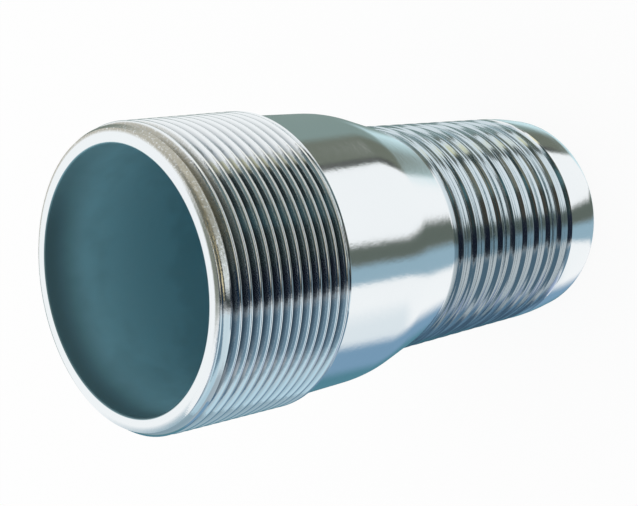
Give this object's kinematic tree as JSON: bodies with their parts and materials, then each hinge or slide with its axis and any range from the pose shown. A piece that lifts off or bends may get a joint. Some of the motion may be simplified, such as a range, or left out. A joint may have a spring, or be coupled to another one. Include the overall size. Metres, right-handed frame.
{
  "type": "hose nipple",
  "caption": "Swaged hose nipple in one piece: a tapered pipe-thread end, a plain barrel and a narrower, ridged hose shank with a crowned nose.",
  "frame": {"origin": "centre of the hose end's flat face, which the nipple stands on", "axes": "+Z along the bore, from the hose end up to the threaded mouth; the nipple is round about Z, and X and Y lie across it"},
  "size_m": [0.0604, 0.0604, 0.124],
  "materials": {
    "zinc_plated_steel": "bright zinc plate over drawn steel"
  },
  "bodies": {
    "root": {"nipple_body": "zinc_plated_steel"}
  },
  "joints": []
}
